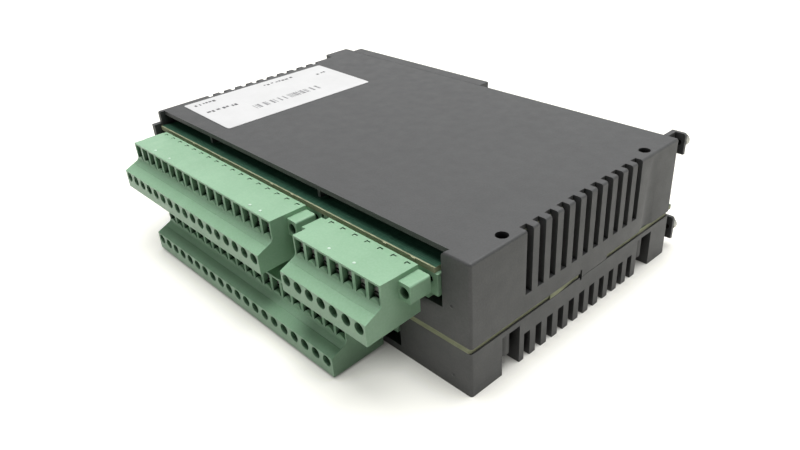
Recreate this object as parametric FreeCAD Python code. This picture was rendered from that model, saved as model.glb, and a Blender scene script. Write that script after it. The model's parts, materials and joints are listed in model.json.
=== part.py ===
import FreeCAD, Part
import math
import os

from FreeCAD import Vector

# Flat input/output module for a control rack, lying on its larger side.
# X runs along the terminal side, -Y is the terminal side, +Y is the rack side, +Z is up.
# The origin is the centre of the housing's bottom face.  All sizes are millimetres.

# ---- driving dimensions ------------------------------------------------------------------------
WIDTH = 158.5
DEPTH = 95.3
HEIGHT = 41.2
WALL = 2.3
TOP_PLATE = 1.5
BASE_PLATE = 2.0
BOARD = 1.6
SEAM = 14.2
PITCH = 5.08
LEVEL = 4 * PITCH
GAP = 0.15
OVER = 1.0  # how far a cutter runs past the face that it opens
SUNK = 0.5  # how far a joined piece reaches into its neighbour

RIGHT = WIDTH / 2
LEFT = -WIDTH / 2
BACK = DEPTH / 2
FRONT = -DEPTH / 2
BOARD_TOP = SEAM + BOARD
UPPER_TOP = BOARD_TOP + LEVEL
UPPER_UNDER = UPPER_TOP - BOARD
CEILING = HEIGHT - TOP_PLATE
EDGE_ROUND = 0.8

# Front of the upper shell: opening for the upper terminals, with a solid pillar on the right.
PILLAR = 9.6
SILL = 24.5
PLATE_SETBACK = 1.9
PILLAR_ROUND = 1.5
FIN_REACH = 3.1
FIN_TOP = 36.9
FIN_THICK = 2.1
RIB_X = (RIGHT - 123.4, RIGHT - 61.5)
RIB_THICK = 1.2
RIB_BACK = FRONT + 6.0
RIB_LOW = 37.0
MOUTH = (RIGHT - 140.0, RIGHT - 26.7)
MOUTH_LOW = 2.4

# Vent slots in both side walls.
VENTS = 11
VENT_PITCH = PITCH
VENT_FIRST = FRONT + 22.4
VENT_WIDTH = 2.6
VENT_WRAP = 2.65
UPPER_VENT_LOW = 21.6
LOWER_VENT_HIGH = 8.7

# Case screws, in two bosses beside the right wall, above two pockets in the lower shell.
CASE_SCREW_X = RIGHT - 3.4
CASE_SCREW_Y = (FRONT + 15.35, FRONT + 80.9)
COUNTERBORE_R = 1.8
BOSS_R = 3.1
BOSS_FLOOR = 24.0
SCREW_CLEAR_R = 1.2
LOWER_BOSS_R = 2.3
LOWER_BOSS_FOOT = 4.5
PILOT_FLOOR = 5.5
PILOT_R = 1.0
CASE_HEAD_R = 1.65
CASE_HEAD_HEIGHT = 2.0
CASE_SHANK_R = 0.98
CASE_SHANK_TIP = 6.0
SLOT_WIDTH = 0.6
SLOT_DEPTH = 0.8
POCKETS = ((FRONT + 12.0, FRONT + 19.2), (FRONT + 77.2, FRONT + 85.0))
POCKET_DEPTH = 8.0
POCKET_TOP = 12.6
POCKET_WALL = 1.3

# Tongues of the upper shell that pass the main board's edge and close on the lower shell.
TONGUE = (FRONT + 47.1, FRONT + 59.6)
LUG_Y = (FRONT + 27.0, FRONT + 68.0)
LUG_HALF = 4.0
LUG_THICK = 1.6
LUG_LOW = 10.6
LUG_ROOT_TOP = 20.0
TONGUE_ROOM = 0.9
NICK_DEPTH = 1.2
NICK_HEIGHT = 0.9

# Dent down the right wall: part of a wide, slightly leaning cylinder.
SCOOP_Y = FRONT + 81.0
SCOOP_R = 9.0
SCOOP_DEPTH = 0.85
SCOOP_LEAN = 1.9

# Rack side: corner hooks with locating studs, a rear flange on the left, a connector shroud.
HOOK_WIDTH = 5.0
HOOK_REACH = 4.9
HOOK_SKIN = 1.1
HOOK_WEB = 1.6
HOOK_ROUND = 0.9
STUD_R = 2.0
STUD_LENGTH = 2.3
STUD_SHANK_R = 0.9
STUD_CHAMFER = 0.3
STUD_X = RIGHT - 1.9
UPPER_HOOK = (34.2, HEIGHT)
LOWER_HOOK = (3.4, 11.4)
STUD_Z = (38.1, 7.6)
EAR_WIDTH = 4.0
EAR_FRONT = FRONT + 83.5
EAR_WALL = 1.8
SHROUD = (LEFT + 1.5, RIGHT - 81.1)
SHROUD_REACH = 4.35
SHROUD_LOW = 21.5

# Terminal plugs: wire holes on the front face, screw windows above, a nose on the back.
PLUG_UPPER_FRONT = FRONT - 20.75
PLUG_LOWER_FRONT = FRONT - 20.4
HOLE_UPPER_Z = 25.45
HOLE_LOWER_Z = HOLE_UPPER_Z - LEVEL
PLUG_DEPTH = 18.2
PLUG_TOP = 10.8
PLUG_BOTTOM = -4.35
WIRE_R = 1.75
WINDOW_WIDTH = 3.9
FLANGE_WIDTH = 4.2
FLANGE_DEPTH = 6.9
FLANGE_Z = (4.05, 9.45)
FLANGE_AXIS = (2.05, 6.75)
FLANGE_ROUND = 0.6
FLANGE_HEAD_R = 1.5
FLANGE_SHANK_R = 1.2
FLANGE_HEAD_SEAT = 4.6
FLANGE_HEAD_HEIGHT = 2.0
NOSE_REACH = 8.1

# Board headers that the plugs push into.
HEADER_HEIGHT = 8.6
HEADER_DEPTH = 12.0
HEADER_WALL = 1.1
HEADER_FRONT = FRONT - 0.9
HEADER_BACK = HEADER_FRONT + HEADER_DEPTH
HEADER_BACK_WALL = 3.0
HEADER_END = PITCH / 2 + FLANGE_WIDTH + 0.8
HEADER_END_RAISE = 2.0
PIN = 1.0
PIN_AXIS = 4.4
PIN_TAIL = 1.2
PIN_Y = HEADER_BACK - 1.5
PIN_TIP = HEADER_FRONT + 1.6
PIN_HOLE = PIN + 0.2
NUT_R = 2.0
NUT_BORE_R = 1.25
NUT_LENGTH = 5.0
NUT_SEAT = HEADER_FRONT + 1.0
HOLE_TO_HEADER = 0.49

# name, first pole, poles, wire-hole height, front face, underside of the board it hangs from
CONNECTORS = (
    ("upper_left", RIGHT - 145.5, 17, HOLE_UPPER_Z, PLUG_UPPER_FRONT, UPPER_UNDER),
    ("upper_right", RIGHT - 48.05, 7, HOLE_UPPER_Z, PLUG_UPPER_FRONT, UPPER_UNDER),
    ("lower", RIGHT - 130.9, 20, HOLE_LOWER_Z, PLUG_LOWER_FRONT, SEAM),
)

# Boards
BOARD_INSET = 0.2
SIDE_INSET = 0.6
NUB_REACH = 0.5
NUB_Y = (FRONT + 32.4, FRONT + 36.6, FRONT + 43.6)
UPPER_BOARD_X = (LEFT + 2.7, RIGHT - 7.3)
UPPER_BOARD_Y = (FRONT + 2.7, FRONT + 90.0)
TONGUE_FRONT = FRONT - 0.9
TONGUE_RIGHT = RIGHT - 11.0
TAB = (RIGHT - 7.0, RIGHT - 1.6)
TAB_REACH = 4.1
STUB_X = (RIGHT - 130.6, RIGHT - 111.8, RIGHT - 81.5, RIGHT - 70.8, RIGHT - 29.2, RIGHT - 18.5)
STUB_WIDTH = 1.3
STUB_REACH = 0.3
SPACERS = ((-68.0, -20.0), (-68.0, 34.0), (0.0, 5.0), (62.0, -20.0), (62.0, 38.0))
SPACER_FLATS = 5.5
SPACER_BORE_R = 1.25
SPACER_HOLE_R = 1.6
SPACER_SCREW_LENGTH = 5.0
SPACER_SCREW_R = 1.2
SPACER_HEAD_R = 2.4
SPACER_HEAD_HEIGHT = 1.5

# Link between the boards, and the connector on the rack side
LINK_CENTRE = (30.0, 30.0)
LINK_COLUMNS = 10
LINK_PITCH = PITCH / 2
LINK_PIN = 0.64
LINK_PIN_TOP = 32.5
LINK_HEADER_HEIGHT = 2.5
LINK_SOCKET_HEIGHT = 8.5
LINK_SOCKET_HOLE = 0.84
BUS_CENTRE = (SHROUD[0] + SHROUD[1]) / 2
BUS_LENGTH = 68.0
BUS_HEIGHT = 10.2
BUS_COLUMNS = 24
BUS_DEPTH = 11.0
BUS_ROOM = 0.35
BUS_BACK = BACK + 2.6
BUS_MOUTH = 6.0
BUS_END_WALL = 1.6
BUS_SIDE_WALL = 1.2
BUS_PIN_R = 0.4
BUS_PIN_ROOT = BUS_BACK - 8.5
BUS_PIN_TIP = BUS_BACK - 1.0

CONVERTER_ROUND = 1.0
CAPACITOR_ROUND = 0.6
CRYSTAL_ROUND = 1.8

# Components on the boards: centre and size along X and Y, and height, unless it says otherwise
CONVERTER = (-36.0, 24.0, 48.0, 24.0, 11.0)
PROCESSOR = (38.0, 14.0, 20.0, 20.0, 2.6)
CRYSTAL = (56.0, 24.0, 4.6, 11.4, 3.6)
LOGIC_BELOW = (24.0, -2.0, 7.5, 10.5, 2.4)
LOGIC_BELOW_STEP = 14.0
LOGIC_ABOVE = (-52.0, -8.0, 7.5, 12.8, 1.8)
LOGIC_ABOVE_STEP = 16.0
OPTOCOUPLER = (-50.0, -22.0, 6.4, 9.2, 3.6)
OPTOCOUPLER_STEP = 7.6
RESISTORS = (-46.0, -12.0, 19.0, 2.4, 5.0)
RESISTORS_STEP = 23.0
CAPACITORS = ((-4.0, 32.0, 5.0, 16.0), (8.0, 40.0, 4.0, 12.0), (-4.0, 20.0, 5.0, 16.0))  # radius, height last
CHOKE = (62.0, 9.0)
CHOKE_R = 5.5
CHOKE_WINDING_R = 2.4

# Self-adhesive label on the top plate
LABEL_CENTRE = (RIGHT - 136.5, FRONT + 40.2)
LABEL_SIZE = (34.4, 63.3)
LABEL_TURN = -1.7
LABEL_ROUND = 1.0
LABEL_THICK = 0.12


# ---- helpers -----------------------------------------------------------------------------------
def block(x0, x1, y0, y1, z0, z1):
    return Part.makeBox(x1 - x0, y1 - y0, z1 - z0, Vector(x0, y0, z0))


def post(x, y, z0, z1, r):
    return Part.makeCylinder(r, z1 - z0, Vector(x, y, z0))


def rod(x, y0, y1, z, r):
    return Part.makeCylinder(r, y1 - y0, Vector(x, y0, z), Vector(0, 1, 0))


def square(x, y, side, z0, z1):
    return block(x - side / 2, x + side / 2, y - side / 2, y + side / 2, z0, z1)


def join(shapes):
    return shapes[0].multiFuse(shapes[1:]).removeSplitter()


def cut(shape, cutters):
    return shape.cut(Part.makeCompound(cutters)).removeSplitter()


def shifted(shape, dx=0.0, dy=0.0, dz=0.0):
    copy = shape.copy()
    copy.translate(Vector(dx, dy, dz))
    return copy


def upright_edges(shape):
    return [e for e in shape.Edges if abs(e.tangentAt(e.FirstParameter).z) > 0.99]


def edges_at_height(shape, z):
    return [e for e in shape.Edges if abs(e.BoundBox.ZMin - z) + abs(e.BoundBox.ZMax - z) < 1e-6]


def hexagon(x, y, z0, z1, flats):
    radius = flats / math.sqrt(3)
    corners = [Vector(x + radius * math.cos(math.radians(60 * i)),
                      y + radius * math.sin(math.radians(60 * i)), z0) for i in range(7)]
    return Part.Face(Part.makePolygon(corners)).extrude(Vector(0, 0, z1 - z0))


def side_slots(z0, z1):
    """Vent slots through both side walls, running on over the edge of the plate."""
    slots = []
    for i in range(VENTS):
        y = VENT_FIRST + i * VENT_PITCH
        for x0, x1 in ((RIGHT - VENT_WRAP, RIGHT + OVER), (LEFT - OVER, LEFT + VENT_WRAP)):
            slots.append(block(x0, x1, y - VENT_WIDTH / 2, y + VENT_WIDTH / 2, z0, z1))
    return slots


def hook(z0, z1):
    """Corner hook: a plate parallel to the back wall, carried by a web on its inner side."""
    inner = RIGHT - HOOK_WIDTH
    plate_front = BACK + HOOK_REACH - HOOK_SKIN
    plate = block(inner, RIGHT, plate_front, BACK + HOOK_REACH, z0, z1)
    corner = [e for e in edges_at_height(plate, z1) if e.BoundBox.XMin > RIGHT - GAP]
    web = block(inner, inner + HOOK_WEB, BACK - SUNK, plate_front, z0, z1)
    return [plate.makeFillet(HOOK_ROUND, corner), web]


def stud_hole(z):
    return rod(STUD_X, BACK, BACK + HOOK_REACH + OVER, z, STUD_SHANK_R)


def ear(z0, z1):
    """Rear flange on the left, hollow from the inside."""
    outer = block(LEFT - EAR_WIDTH, LEFT + OVER, EAR_FRONT, BACK, z0, z1)
    corners = [e for e in upright_edges(outer) if e.BoundBox.XMax < LEFT]
    return outer.makeFillet(EDGE_ROUND, corners)


def ear_hollow(z0, z1):
    return block(LEFT - EAR_WIDTH + EAR_WALL, LEFT + WALL, EAR_FRONT + EAR_WALL, BACK - WALL, z0, z1)


# ---- housing -----------------------------------------------------------------------------------
def upper_shell():
    outer = block(LEFT, RIGHT, FRONT, BACK, BOARD_TOP, HEIGHT)
    outer = outer.makeFillet(EDGE_ROUND, upright_edges(outer) + edges_at_height(outer, HEIGHT))
    shroud = block(SHROUD[0], SHROUD[1], BACK - SUNK, BACK + SHROUD_REACH, SHROUD_LOW, HEIGHT)
    outer = join([outer, ear(BOARD_TOP, HEIGHT), shroud] + hook(*UPPER_HOOK))
    inner = block(LEFT + WALL, RIGHT - WALL, FRONT + WALL, BACK - WALL, BOARD_TOP - OVER, CEILING)
    shell = cut(outer, [join([inner, ear_hollow(BOARD_TOP - OVER, CEILING)])])
    bosses = [post(CASE_SCREW_X, y, BOARD_TOP, CEILING + SUNK, BOSS_R) for y in CASE_SCREW_Y]
    fin = block(LEFT, LEFT + FIN_THICK, FRONT - FIN_REACH, FRONT + SUNK, SILL, FIN_TOP)
    shell = join([shell, fin] + bosses + tongues() + lugs() + plate_ribs())
    shell = cut(shell, front_opening() + side_slots(UPPER_VENT_LOW, HEIGHT + OVER) + nicks())
    shell = cut(shell, [bus_opening(), scoop()])
    return cut(shell, case_screw_holes() + [stud_hole(STUD_Z[0])])


def tongues():
    """One in each side wall, down past the main board's edge."""
    return [block(x, x + WALL, TONGUE[0], TONGUE[1], SEAM + GAP, BOARD_TOP + SUNK)
            for x in (LEFT, RIGHT - WALL)]


def nicks():
    """Small notch through the seam in front of each tongue."""
    return [block(x0, x1, TONGUE[0] - TONGUE_ROOM, TONGUE[0], SEAM - NICK_HEIGHT, BOARD_TOP + NICK_HEIGHT)
            for x0, x1 in ((LEFT - OVER, LEFT + NICK_DEPTH), (RIGHT - NICK_DEPTH, RIGHT + OVER))]


def lugs():
    """Two on the left wall that reach down inside the lower shell and keep the halves in line."""
    face = LEFT + WALL
    parts = []
    for y in LUG_Y:
        y0, y1 = y - LUG_HALF, y + LUG_HALF
        parts.append(block(face + GAP, face + LUG_THICK, y0, y1, LUG_LOW, BOARD_TOP))
        parts.append(block(face - SUNK, face + LUG_THICK, y0, y1, BOARD_TOP, LUG_ROOT_TOP))
    return parts


def front_opening():
    """Opening for the upper plugs.  The plate above is set back, and the pillar's corner is round."""
    x0, x1 = LEFT + WALL, RIGHT - PILLAR
    y0 = FRONT - FIN_REACH - OVER
    setback = FRONT + PLATE_SETBACK
    round_x, round_z = x1 + PILLAR_ROUND, HEIGHT - PILLAR_ROUND
    mouth = block(x0, x1, y0, FRONT + WALL + GAP, SILL, CEILING)
    plate = block(x0, x1, y0, setback, CEILING - SUNK, HEIGHT + OVER)
    corner = block(x1 - GAP, round_x, y0, setback, round_z, HEIGHT + OVER)
    corner = corner.cut(rod(round_x, y0 - OVER, setback + OVER, round_z, PILLAR_ROUND))
    return [join([mouth, plate, corner])]


def plate_ribs():
    """Two short ribs under the front edge of the top plate."""
    y0 = FRONT + PLATE_SETBACK
    half = RIB_THICK / 2
    return [block(x - half, x + half, y0, RIB_BACK, RIB_LOW, CEILING + SUNK) for x in RIB_X]


def bus_opening():
    """Window in the back wall and shroud, with room all round the connector."""
    reach = BUS_LENGTH / 2 + BUS_ROOM
    return block(BUS_CENTRE - reach, BUS_CENTRE + reach, BACK - WALL - SUNK, BACK + SHROUD_REACH + OVER,
                 UPPER_UNDER - BUS_HEIGHT - BUS_ROOM, UPPER_UNDER + BUS_ROOM)


def scoop():
    """Shallow dent down the right wall, deepest at the seam and gone near the top."""
    lean = math.radians(SCOOP_LEAN)
    foot = Vector(RIGHT + SCOOP_R - SCOOP_DEPTH, SCOOP_Y, BOARD_TOP - OVER)
    return Part.makeCylinder(SCOOP_R, HEIGHT, foot, Vector(math.sin(lean), 0, math.cos(lean)))


def case_screw_holes():
    holes = []
    for y in CASE_SCREW_Y:
        holes.append(post(CASE_SCREW_X, y, BOSS_FLOOR, HEIGHT + OVER, COUNTERBORE_R))
        holes.append(post(CASE_SCREW_X, y, BOARD_TOP - OVER, BOSS_FLOOR, SCREW_CLEAR_R))
    return holes


def lower_shell():
    outer = block(LEFT, RIGHT, FRONT, BACK, 0, SEAM)
    outer = outer.makeFillet(EDGE_ROUND, upright_edges(outer))
    outer = join([outer, ear(0, SEAM)] + hook(*LOWER_HOOK))
    inner = block(LEFT + WALL, RIGHT - WALL, FRONT + WALL, BACK - WALL, BASE_PLATE, SEAM + OVER)
    shell = cut(outer, [join([inner, ear_hollow(BASE_PLATE, SEAM + OVER)])])
    shell = join([shell] + [pocket_housing(*pocket) for pocket in POCKETS])
    pockets = [block(RIGHT - POCKET_DEPTH, RIGHT + OVER, y0, y1, -OVER, POCKET_TOP) for y0, y1 in POCKETS]
    mouth = block(MOUTH[0], MOUTH[1], FRONT - OVER, FRONT + WALL + GAP, MOUTH_LOW, SEAM + OVER)
    shell = cut(shell, pockets + [mouth] + side_slots(-OVER, LOWER_VENT_HIGH) + nicks())
    bosses = [post(CASE_SCREW_X, y, LOWER_BOSS_FOOT, SEAM, LOWER_BOSS_R) for y in CASE_SCREW_Y]
    pilots = [post(CASE_SCREW_X, y, PILOT_FLOOR, SEAM + OVER, PILOT_R) for y in CASE_SCREW_Y]
    return cut(join([shell] + bosses), pilots + [stud_hole(STUD_Z[1])])


def pocket_housing(y0, y1):
    """Walls round one side pocket, inside the shell."""
    return block(RIGHT - POCKET_DEPTH - POCKET_WALL, RIGHT - SUNK, y0 - POCKET_WALL, y1 + POCKET_WALL,
                 BASE_PLATE - SUNK, SEAM)


def case_screws():
    screws = []
    half = SLOT_WIDTH / 2
    reach = CASE_HEAD_R + OVER
    top = BOSS_FLOOR + CASE_HEAD_HEIGHT
    for y in CASE_SCREW_Y:
        head = post(CASE_SCREW_X, y, BOSS_FLOOR, top, CASE_HEAD_R)
        shank = post(CASE_SCREW_X, y, CASE_SHANK_TIP, BOSS_FLOOR, CASE_SHANK_R)
        slot = block(CASE_SCREW_X - half, CASE_SCREW_X + half, y - reach, y + reach,
                     top - SLOT_DEPTH, top + OVER)
        screws.append(join([head, shank]).cut(slot))
    return Part.makeCompound(screws)


def hook_studs():
    studs = []
    face = BACK + HOOK_REACH
    tip_y = face + STUD_LENGTH
    for z in STUD_Z:
        head = rod(STUD_X, face, tip_y, z, STUD_R)
        tip = [e for e in head.Edges if abs(e.BoundBox.YMin - tip_y) < 1e-6]
        head = head.makeChamfer(STUD_CHAMFER, tip)
        studs.append(join([head, rod(STUD_X, face - HOOK_SKIN, face, z, STUD_SHANK_R)]))
    return Part.makeCompound(studs)


def rating_label():
    width, length = LABEL_SIZE
    sheet = block(-width / 2, width / 2, -length / 2, length / 2, HEIGHT, HEIGHT + LABEL_THICK)
    sheet = sheet.makeFillet(LABEL_ROUND, upright_edges(sheet))
    sheet.rotate(Vector(0, 0, 0), Vector(0, 0, 1), LABEL_TURN)
    return shifted(sheet, *LABEL_CENTRE)


# ---- boards ------------------------------------------------------------------------------------
def pin_holes(board_under):
    """Square holes for the header pins that come up through the board at this height."""
    holes = []
    for name, first, poles, hole_z, front, under in CONNECTORS:
        if under == board_under:
            holes += [square(first + i * PITCH, PIN_Y, PIN_HOLE, under - OVER, under + BOARD + OVER)
                      for i in range(poles)]
    return holes


def spacer_holes(z):
    return [post(x, y, z - OVER, z + BOARD + OVER, SPACER_HOLE_R) for x, y in SPACERS]


def board_nub():
    """Tapered remnant on the right edge where the main board was snapped out of its panel."""
    edge = RIGHT - SIDE_INSET
    root, tip = edge - SUNK, edge + NUB_REACH
    start, full, end = NUB_Y
    outline = [(root, start), (tip, start), (tip, full), (edge, end), (root, end), (root, start)]
    face = Part.Face(Part.makePolygon([Vector(x, y, SEAM) for x, y in outline]))
    return face.extrude(Vector(0, 0, BOARD))


def main_board():
    board = block(LEFT + SIDE_INSET, RIGHT - SIDE_INSET, FRONT, BACK - BOARD_INSET, SEAM, BOARD_TOP)
    board = board.makeFillet(EDGE_ROUND, upright_edges(board))
    tab = block(TAB[0], TAB[1], BACK - OVER, BACK + TAB_REACH, SEAM, BOARD_TOP)
    board = join([board, tab, board_nub()])
    z0, z1 = SEAM - OVER, BOARD_TOP + OVER
    depth = WALL + 2 * GAP
    notches = [block(x0, x1, TONGUE[0] - TONGUE_ROOM, TONGUE[1] + GAP, z0, z1)
               for x0, x1 in ((LEFT - OVER, LEFT + depth), (RIGHT - depth, RIGHT + OVER))]
    reach = LUG_HALF + 2 * GAP
    lug_notches = [block(LEFT + WALL - GAP, LEFT + WALL + LUG_THICK + 2 * GAP, y - reach, y + reach, z0, z1)
                   for y in LUG_Y]
    screw_holes = [post(CASE_SCREW_X, y, z0, z1, SCREW_CLEAR_R) for y in CASE_SCREW_Y]
    return cut(board, notches + lug_notches + screw_holes + spacer_holes(SEAM) + pin_holes(SEAM))


def upper_board():
    """Board behind the upper plugs, with the stubs where it was snapped out of its panel."""
    x0, x1 = UPPER_BOARD_X
    y0, y1 = UPPER_BOARD_Y
    main = block(x0, x1, y0, y1, UPPER_UNDER, UPPER_TOP)
    tongue = block(x0, TONGUE_RIGHT, TONGUE_FRONT, y0 + OVER, UPPER_UNDER, UPPER_TOP)
    half = STUB_WIDTH / 2
    stubs = [block(x - half, x + half, TONGUE_FRONT - STUB_REACH, TONGUE_FRONT + SUNK, UPPER_UNDER, UPPER_TOP)
             for x in STUB_X]
    return cut(join([main, tongue] + stubs), spacer_holes(UPPER_UNDER) + pin_holes(UPPER_UNDER))


def board_spacers():
    spacers = []
    for x, y in SPACERS:
        body = hexagon(x, y, BOARD_TOP, UPPER_UNDER, SPACER_FLATS)
        spacers.append(body.cut(post(x, y, BOARD_TOP - OVER, UPPER_UNDER + OVER, SPACER_BORE_R)))
    return Part.makeCompound(spacers)


def board_screw():
    """Pan-head screw at the origin: its head stands on z = 0 and its shank points down."""
    head = post(0, 0, 0, SPACER_HEAD_HEIGHT, SPACER_HEAD_R)
    shank = post(0, 0, -SPACER_SCREW_LENGTH, 0, SPACER_SCREW_R)
    reach = SPACER_HEAD_R + OVER
    slot = block(-reach, reach, -SLOT_WIDTH / 2, SLOT_WIDTH / 2,
                 SPACER_HEAD_HEIGHT - SLOT_DEPTH, SPACER_HEAD_HEIGHT + OVER)
    return join([head, shank]).cut(slot)


def spacer_screws():
    """One down through the upper board and one up through the main board at each spacer."""
    down = board_screw()
    up = board_screw()
    up.rotate(Vector(0, 0, 0), Vector(1, 0, 0), 180)
    top = [shifted(down, x, y, UPPER_TOP) for x, y in SPACERS]
    bottom = [shifted(up, x, y, SEAM) for x, y in SPACERS]
    return Part.makeCompound(top + bottom)


# ---- headers -----------------------------------------------------------------------------------
def last_pole(first, poles):
    return first + (poles - 1) * PITCH


def flange_axes(first, poles):
    """The two flange screw axes of a connector, as distances along X."""
    reach = PITCH / 2 + FLANGE_AXIS[0]
    return (first - reach, last_pole(first, poles) + reach)


def header(first, poles, hole_z, under):
    """Shell that hangs from the board: a cavity for the plug's nose, and a nut seat at each end
    that is open to the back."""
    last = last_pole(first, poles)
    low = under - HEADER_HEIGHT
    half = PITCH / 2 + 2 * GAP
    middle = half + HEADER_WALL
    body = join([block(first - middle, last + middle, HEADER_FRONT, HEADER_BACK, low, under),
                 block(first - HEADER_END, last + HEADER_END, HEADER_FRONT, HEADER_BACK,
                       low + HEADER_END_RAISE, under)])
    cavity = block(first - half, last + half, HEADER_FRONT - OVER, HEADER_BACK - HEADER_BACK_WALL,
                   low + HEADER_WALL, under - HEADER_WALL)
    cutters = [cavity]
    z = hole_z + FLANGE_AXIS[1]
    for x in flange_axes(first, poles):
        way_in = rod(x, HEADER_FRONT - OVER, NUT_SEAT + GAP, z, NUT_BORE_R)
        seat = rod(x, NUT_SEAT, HEADER_BACK + OVER, z, NUT_R)
        cutters.append(join([way_in, seat]))
    return cut(cut(body, cutters), [header_pin(first + i * PITCH, under) for i in range(poles)])


def header_pin(x, under):
    """Square pin: along the plug's path, then up through the board."""
    z = under - HEADER_HEIGHT + PIN_AXIS
    half = PIN / 2
    along = block(x - half, x + half, PIN_TIP, PIN_Y + half, z - half, z + half)
    return join([along, square(x, PIN_Y, PIN, z - half, under + BOARD + PIN_TAIL)])


def header_pins(first, poles, under):
    return Part.makeCompound([header_pin(first + i * PITCH, under) for i in range(poles)])


def flange_nuts():
    nuts = []
    y0, y1 = NUT_SEAT, NUT_SEAT + NUT_LENGTH
    for name, first, poles, hole_z, front, under in CONNECTORS:
        z = hole_z + FLANGE_AXIS[1]
        for x in flange_axes(first, poles):
            nuts.append(rod(x, y0, y1, z, NUT_R).cut(rod(x, y0 - OVER, y1 + OVER, z, NUT_BORE_R)))
    return Part.makeCompound(nuts)


# ---- plugs -------------------------------------------------------------------------------------
# In this section y is measured back from the plug's front face and z from the wire-hole centres.
PLUG_BACK_FOOT = -3.6
NOSE_ROOM = 0.2
NOSE_Z = (HOLE_TO_HEADER + HEADER_WALL + NOSE_ROOM, HOLE_TO_HEADER + HEADER_HEIGHT - HEADER_WALL - NOSE_ROOM)
NOSE_END = PLUG_DEPTH + NOSE_REACH

# One pole, front to back: wire hole and window, clamp chamber, contact channel
WIRE_DEPTH = 8.4
WINDOW_FRONT = 4.0
WINDOW_FLOOR = 7.4
WINDOW_Z = (4.7, 10.15)
SCREW_Z = 7.0
SCREW_HOLE_R = 1.75
CHAMBER_Y = (8.4, 13.2)
CHAMBER_Z = (-2.4, 9.4)
CHAMBER_WIDTH = 4.0
CHANNEL = 2.5
CONTACT_Z = HOLE_TO_HEADER + PIN_AXIS

# Line moulded along the shelf, and the rounded sill at the foot of each window
LINE_Y = 3.4
LINE_HALF = 0.15
LINE_DEPTH = 0.15
SILL_Y = (5.45, 6.5)
SILL_Z = 3.9
SILL_R = 2.0

# Angled slot on the top beside each pole
MARK_X = (-0.6, 0.9)
MARK_BACK = PLUG_DEPTH - 0.8
MARK_REACH = 1.15
MARK_WIDTH = 0.45
MARK_DEPTH = 0.7

# Clamp in each pole
CLAMP_Y = (8.6, 13.0)
CLAMP_Z = (-2.2, 9.2)
CLAMP_WIDTH = 3.7
CLAMP_WIRE_R = 1.5
CLAMP_WIRE_END = 12.0
CLAMP_THREAD_R = 1.25
CLAMP_HEAD_Y = (6.9, 8.6)
CLAMP_HEAD_R = 1.6
CLAMP_SHANK_R = 1.2
CLAMP_SHANK_END = 12.8

# Contact behind each clamp
CONTACT_WIDTH = 2.0
CONTACT_ROOT_END = 15.5
LEAF_Z = (0.6, 1.05)
LEAF_END = NOSE_END - 0.6


def plug_profile():
    """Side outline: front face, sloping shelf, hollow curve, upper face, top, back, bottom."""
    shelf_front = Vector(0, 0, 2.0)
    shelf_end = Vector(0, 5.0, 4.2)
    upper_foot = Vector(0, 5.6, 5.8)
    curve = Part.Arc(shelf_end, Vector(0, 5.5, 4.85), upper_foot).toShape()
    slope = (shelf_end.z - shelf_front.z) / shelf_end.y
    line = [Vector(0, y, shelf_front.z + slope * y - drop)
            for y, drop in ((LINE_Y - LINE_HALF, 0.0), (LINE_Y, LINE_DEPTH), (LINE_Y + LINE_HALF, 0.0))]
    points = [upper_foot, Vector(0, 5.6, PLUG_TOP), Vector(0, PLUG_DEPTH, PLUG_TOP),
              Vector(0, PLUG_DEPTH, PLUG_BACK_FOOT), Vector(0, 0, PLUG_BOTTOM), shelf_front]
    points += line + [shelf_end]
    edges = [Part.LineSegment(a, b).toShape() for a, b in zip(points, points[1:])]
    return Part.Face(Part.Wire(edges + [curve]))


def flange_block(x0, x1):
    body = block(x0, x1, PLUG_DEPTH - FLANGE_DEPTH, PLUG_DEPTH, FLANGE_Z[0], FLANGE_Z[1])
    along = [e for e in body.Edges if abs(e.tangentAt(e.FirstParameter).y) > 0.99]
    return body.makeFillet(FLANGE_ROUND, along)


def flange_bore(x):
    """Stepped hole through a flange block: wide for the screw's head, narrow for its shank."""
    front = PLUG_DEPTH - FLANGE_DEPTH
    seat = front + FLANGE_HEAD_SEAT
    wide = rod(x, front - OVER, seat, FLANGE_AXIS[1], FLANGE_HEAD_R + GAP)
    narrow = rod(x, seat - GAP, PLUG_DEPTH + OVER, FLANGE_AXIS[1], FLANGE_SHANK_R + GAP)
    return join([wide, narrow])


def pole_cutter():
    """Everything removed for one pole: wire hole, window, screw hole, chamber, contact channel."""
    half = WINDOW_WIDTH / 2
    wire = rod(0, -OVER, WIRE_DEPTH + GAP, 0, WIRE_R)
    window = block(-half, half, WINDOW_FRONT, WINDOW_FLOOR, WINDOW_Z[0], WINDOW_Z[1])
    screw = rod(0, WINDOW_FLOOR - GAP, CHAMBER_Y[0] + GAP, SCREW_Z, SCREW_HOLE_R)
    chamber = block(-CHAMBER_WIDTH / 2, CHAMBER_WIDTH / 2, *CHAMBER_Y, *CHAMBER_Z)
    channel = block(-CHANNEL / 2, CHANNEL / 2, CHAMBER_Y[1] - GAP, NOSE_END + OVER,
                    CONTACT_Z - CHANNEL / 2, CONTACT_Z + CHANNEL / 2)
    return join([wire, window, screw, chamber, channel])


def key_mark():
    """Small angled slot on the top, beside the back edge."""
    x0, x1 = MARK_X
    low, high = PLUG_TOP - MARK_DEPTH, PLUG_TOP + OVER
    across = block(x0, x1, MARK_BACK - MARK_WIDTH, MARK_BACK, low, high)
    along = block(x0, x0 + MARK_WIDTH, MARK_BACK - MARK_REACH, MARK_BACK, low, high)
    return join([across, along])


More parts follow.
